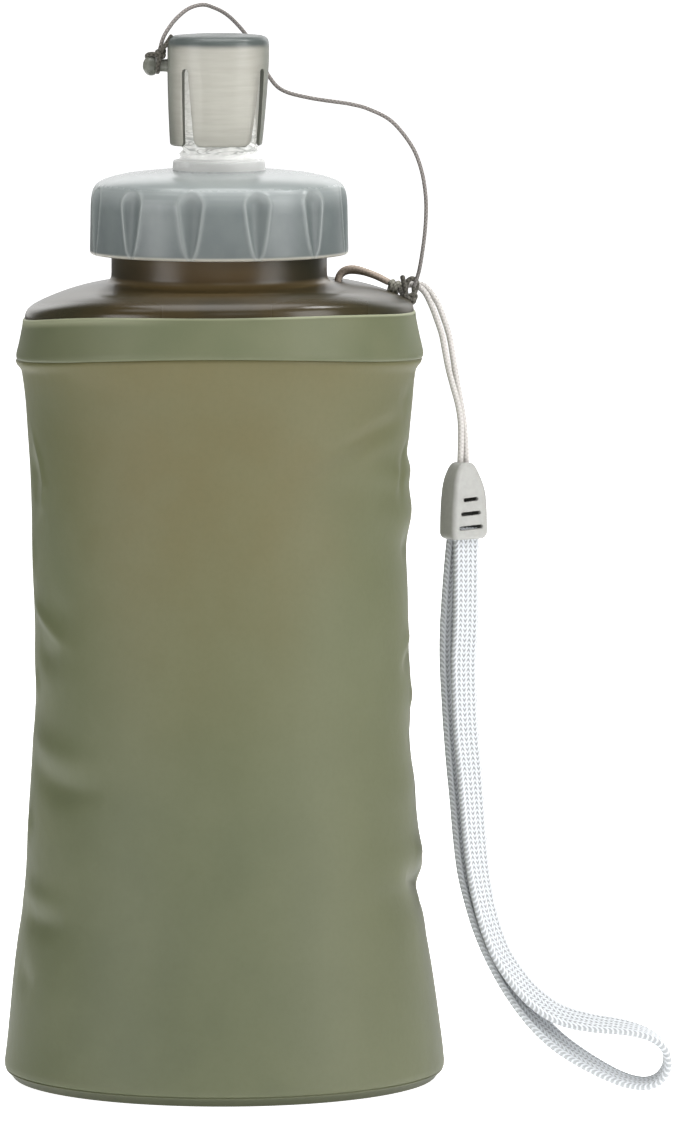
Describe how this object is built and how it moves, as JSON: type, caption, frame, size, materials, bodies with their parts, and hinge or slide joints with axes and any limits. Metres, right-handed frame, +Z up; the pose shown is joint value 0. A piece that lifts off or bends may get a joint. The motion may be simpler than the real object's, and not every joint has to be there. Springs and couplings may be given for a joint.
{
  "type": "collapsible water bottle",
  "caption": "Soft collapsible squeeze bottle with a rigid shoulder, screw cap, bite valve, tethered dust cap and a corded wrist strap.",
  "frame": {"origin": "on the bottle's axis, on the surface that it stands on", "axes": "+Z up along the bottle's axis, -Y towards the front, +X towards the wrist strap"},
  "size_m": [0.1218, 0.0798, 0.1955],
  "materials": {
    "bag": "matte translucent olive elastomer",
    "band": "matte olive elastomer",
    "shoulder": "satin dark olive plastic",
    "cap": "satin grey plastic",
    "seal": "matte white silicone",
    "stem": "satin white plastic",
    "valve": "glossy clear silicone",
    "dust_cap": "frosted smoke-grey plastic",
    "elastic": "braided grey elastic cord",
    "cord": "braided off-white cord",
    "bead": "satin warm grey plastic",
    "webbing": "white herringbone braid"
  },
  "bodies": {
    "bottle": {"shoulder": "shoulder", "weld_band": "band", "bag_wall": "bag", "tether_cord_lower": "elastic", "tether_knot_lower": "elastic", "strap_cord_loop": "cord", "strap_hitch": "cord", "strap_cord_inner": "cord", "strap_cord_outer": "cord", "strap_bead_front": "bead", "strap_bead_back": "bead", "strap_webbing": "webbing"},
    "cap_carrier": {"cap_gasket": "seal"},
    "cap": {"screw_cap": "cap", "spout_stem": "stem", "bite_valve": "valve"},
    "dust_cap": {"dust_cap": "dust_cap", "tether_knot_upper": "elastic", "tether_cord_upper": "elastic"},
    "base": {"base_disc": "bag"}
  },
  "joints": [
    {"name": "cap_rise", "type": "slide", "parent": "bottle", "child": "cap_carrier", "axis": [0, 0, 1], "range_m": [0, 0.006]},
    {"name": "cap_turn", "type": "hinge", "parent": "cap_carrier", "child": "cap", "pos_m": [0, 0, 0.157], "axis": [0, 0, 1], "range_deg": [0, 540]},
    {"name": "dust_cap_pull", "type": "slide", "parent": "cap_carrier", "child": "dust_cap", "axis": [0, 0, 1], "range_m": [0, 0.02]},
    {"name": "bag_collapse", "type": "slide", "parent": "bottle", "child": "base", "axis": [0, 0, 1], "range_m": [0, 0.095], "deforming": ["bag_wall"]}
  ],
  "couplings": [
    {"joint": "cap_rise", "follows": "cap_turn", "m_per_rad": 0.00063662}
  ]
}
